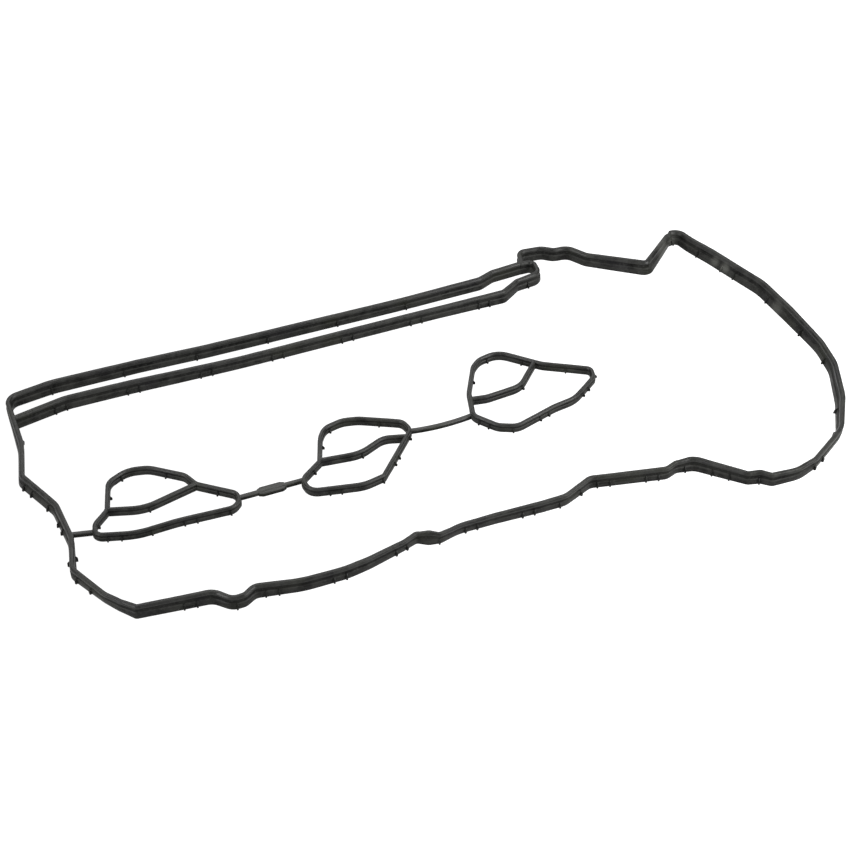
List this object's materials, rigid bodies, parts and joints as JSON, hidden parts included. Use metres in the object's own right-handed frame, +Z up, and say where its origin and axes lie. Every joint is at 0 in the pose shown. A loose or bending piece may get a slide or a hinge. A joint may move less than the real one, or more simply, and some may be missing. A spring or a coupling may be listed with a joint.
{
  "type": "valve cover gasket",
  "caption": "Moulded rubber valve cover gasket: a thin upright ring wall with a double rear rail, linked spark plug well loops and small retention nibs.",
  "frame": {"origin": "centre of the bounding box, on the surface that the gasket lies on", "axes": "+X along the two rear rails, which is the longest extent; +Y from the front wall to the rear rails; +Z up, from the foot to the sealing bead, which is the shortest extent"},
  "size_m": [0.4878, 0.2636, 0.0083],
  "materials": {
    "black_rubber": "satin black moulded rubber"
  },
  "bodies": {
    "root": {"gasket": "black_rubber"}
  },
  "joints": []
}
